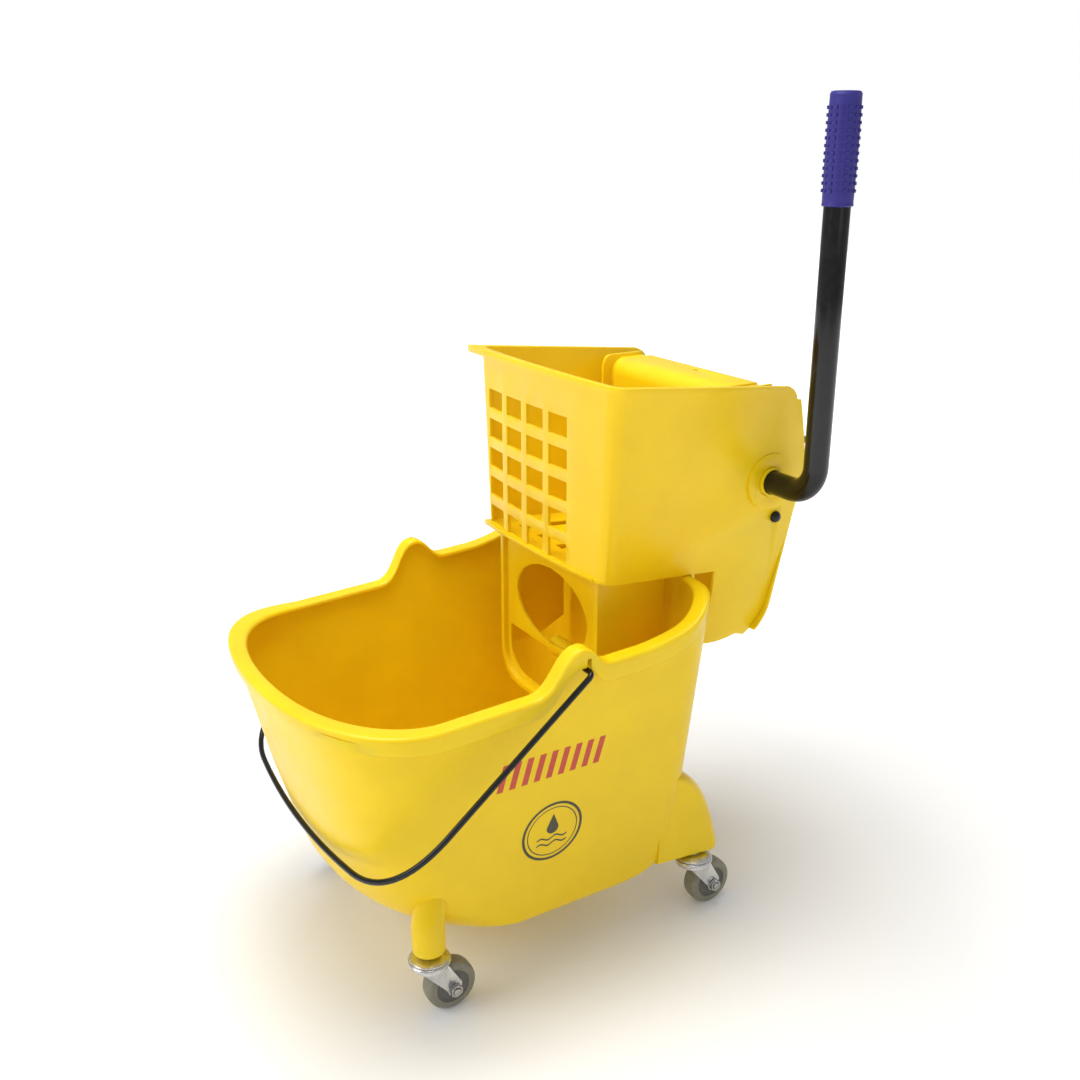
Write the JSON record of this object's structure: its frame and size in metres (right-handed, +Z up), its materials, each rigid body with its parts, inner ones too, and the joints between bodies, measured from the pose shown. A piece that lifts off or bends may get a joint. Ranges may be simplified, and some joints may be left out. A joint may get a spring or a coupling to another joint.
{
  "type": "mop bucket with wringer",
  "caption": "Wheeled plastic mop bucket with a wire bail and a lift-off press wringer, worked by a bent tube lever with a ribbed grip.",
  "frame": {"origin": "centre of the bounding box in plan, on the floor under the wheels", "axes": "+Z up; -Y towards the tub's front, +Y towards the wringer; +X towards the side the lever stands on"},
  "size_m": [0.411, 0.5976, 0.8823],
  "materials": {
    "tub_plastic": "satin, moulded",
    "wringer_plastic": "satin, moulded",
    "black_wire": "gloss",
    "black_tube": "gloss",
    "grip": "matte",
    "black_plastic": "satin",
    "steel": "satin",
    "zinc_plate": "bright zinc plate",
    "hub_plastic": "matte",
    "wheel_rubber": "matte"
  },
  "bodies": {
    "tub": {"bucket": "tub_plastic", "caster_front_right_stem": "zinc_plate", "caster_front_left_stem": "zinc_plate", "caster_rear_right_stem": "zinc_plate", "caster_rear_left_stem": "zinc_plate"},
    "bail": {"bail_handle": "black_wire"},
    "wringer": {"wringer_housing": "wringer_plastic", "rear_cover": "wringer_plastic", "hinge_rod": "steel", "lever_bush_right": "wringer_plastic", "lever_bush_left": "wringer_plastic", "tie_rod": "steel", "tie_rod_cap_right": "black_plastic", "tie_rod_cap_left": "black_plastic", "cover_screw_upper_right": "steel", "cover_screw_upper_left": "steel", "cover_screw_lower_right": "steel", "cover_screw_lower_left": "steel", "return_spring": "steel"},
    "press": {"press_plate": "wringer_plastic", "curved_rack_right": "wringer_plastic", "curved_rack_left": "wringer_plastic"},
    "lever": {"lever_tube": "black_tube", "lever_grip": "grip", "lever_shaft_cap": "black_plastic", "pinion_right": "black_plastic", "pinion_left": "black_plastic", "pinion_pin_right": "steel", "pinion_pin_left": "steel"},
    "swivel_front_right": {"caster_front_right_race": "zinc_plate", "caster_front_right_fork": "zinc_plate", "caster_front_right_axle_bolt": "zinc_plate", "caster_front_right_axle_nut": "zinc_plate"},
    "wheel_front_right": {"caster_front_right_hub": "hub_plastic", "caster_front_right_tyre": "wheel_rubber"},
    "swivel_front_left": {"caster_front_left_race": "zinc_plate", "caster_front_left_fork": "zinc_plate", "caster_front_left_axle_bolt": "zinc_plate", "caster_front_left_axle_nut": "zinc_plate"},
    "wheel_front_left": {"caster_front_left_hub": "hub_plastic", "caster_front_left_tyre": "wheel_rubber"},
    "swivel_rear_right": {"caster_rear_right_race": "zinc_plate", "caster_rear_right_fork": "zinc_plate", "caster_rear_right_axle_bolt": "zinc_plate", "caster_rear_right_axle_nut": "zinc_plate"},
    "wheel_rear_right": {"caster_rear_right_hub": "hub_plastic", "caster_rear_right_tyre": "wheel_rubber"},
    "swivel_rear_left": {"caster_rear_left_race": "zinc_plate", "caster_rear_left_fork": "zinc_plate", "caster_rear_left_axle_bolt": "zinc_plate", "caster_rear_left_axle_nut": "zinc_plate"},
    "wheel_rear_left": {"caster_rear_left_hub": "hub_plastic", "caster_rear_left_tyre": "wheel_rubber"}
  },
  "joints": [
    {"name": "bail_swing", "type": "hinge", "parent": "tub", "child": "bail", "pos_m": [-0.00652, -0.0247, 0.362], "axis": [-1, 0, 0], "range_deg": [0, 135]},
    {"name": "wringer_lift_off", "type": "slide", "parent": "tub", "child": "wringer", "axis": [0, 0, 1], "range_m": [0, 0.22]},
    {"name": "lever_turn", "type": "hinge", "parent": "wringer", "child": "lever", "pos_m": [-0.00652, 0.24463, 0.4943], "axis": [1, 0, 0], "range_deg": [0, 105], "stiffness_Nm_per_rad": 1.5, "springref_deg": -20.05},
    {"name": "press_plate_swing", "type": "hinge", "parent": "wringer", "child": "press", "pos_m": [-0.00652, 0.23562, 0.44045], "axis": [1, 0, 0], "range_deg": [0, 26.25]},
    {"name": "swivel_front_right", "type": "hinge", "parent": "tub", "child": "swivel_front_right", "pos_m": [0.13448, -0.1802, 0.06], "axis": [0, 0, 1], "continuous": true},
    {"name": "wheel_front_right_spin", "type": "hinge", "parent": "swivel_front_right", "child": "wheel_front_right", "pos_m": [0.13448, -0.1592, 0.027], "axis": [1, 0, 0], "continuous": true},
    {"name": "swivel_front_left", "type": "hinge", "parent": "tub", "child": "swivel_front_left", "pos_m": [-0.14752, -0.1802, 0.06], "axis": [0, 0, 1], "continuous": true},
    {"name": "wheel_front_left_spin", "type": "hinge", "parent": "swivel_front_left", "child": "wheel_front_left", "pos_m": [-0.14752, -0.1592, 0.027], "axis": [1, 0, 0], "continuous": true},
    {"name": "swivel_rear_right", "type": "hinge", "parent": "tub", "child": "swivel_rear_right", "pos_m": [0.13448, 0.1553, 0.06], "axis": [0, 0, 1], "continuous": true},
    {"name": "wheel_rear_right_spin", "type": "hinge", "parent": "swivel_rear_right", "child": "wheel_rear_right", "pos_m": [0.13448, 0.1763, 0.027], "axis": [1, 0, 0], "continuous": true},
    {"name": "swivel_rear_left", "type": "hinge", "parent": "tub", "child": "swivel_rear_left", "pos_m": [-0.14752, 0.1553, 0.06], "axis": [0, 0, 1], "continuous": true},
    {"name": "wheel_rear_left_spin", "type": "hinge", "parent": "swivel_rear_left", "child": "wheel_rear_left", "pos_m": [-0.14752, 0.1763, 0.027], "axis": [1, 0, 0], "continuous": true}
  ],
  "couplings": [
    {"joint": "press_plate_swing", "follows": "lever_turn", "ratio": 0.25}
  ]
}
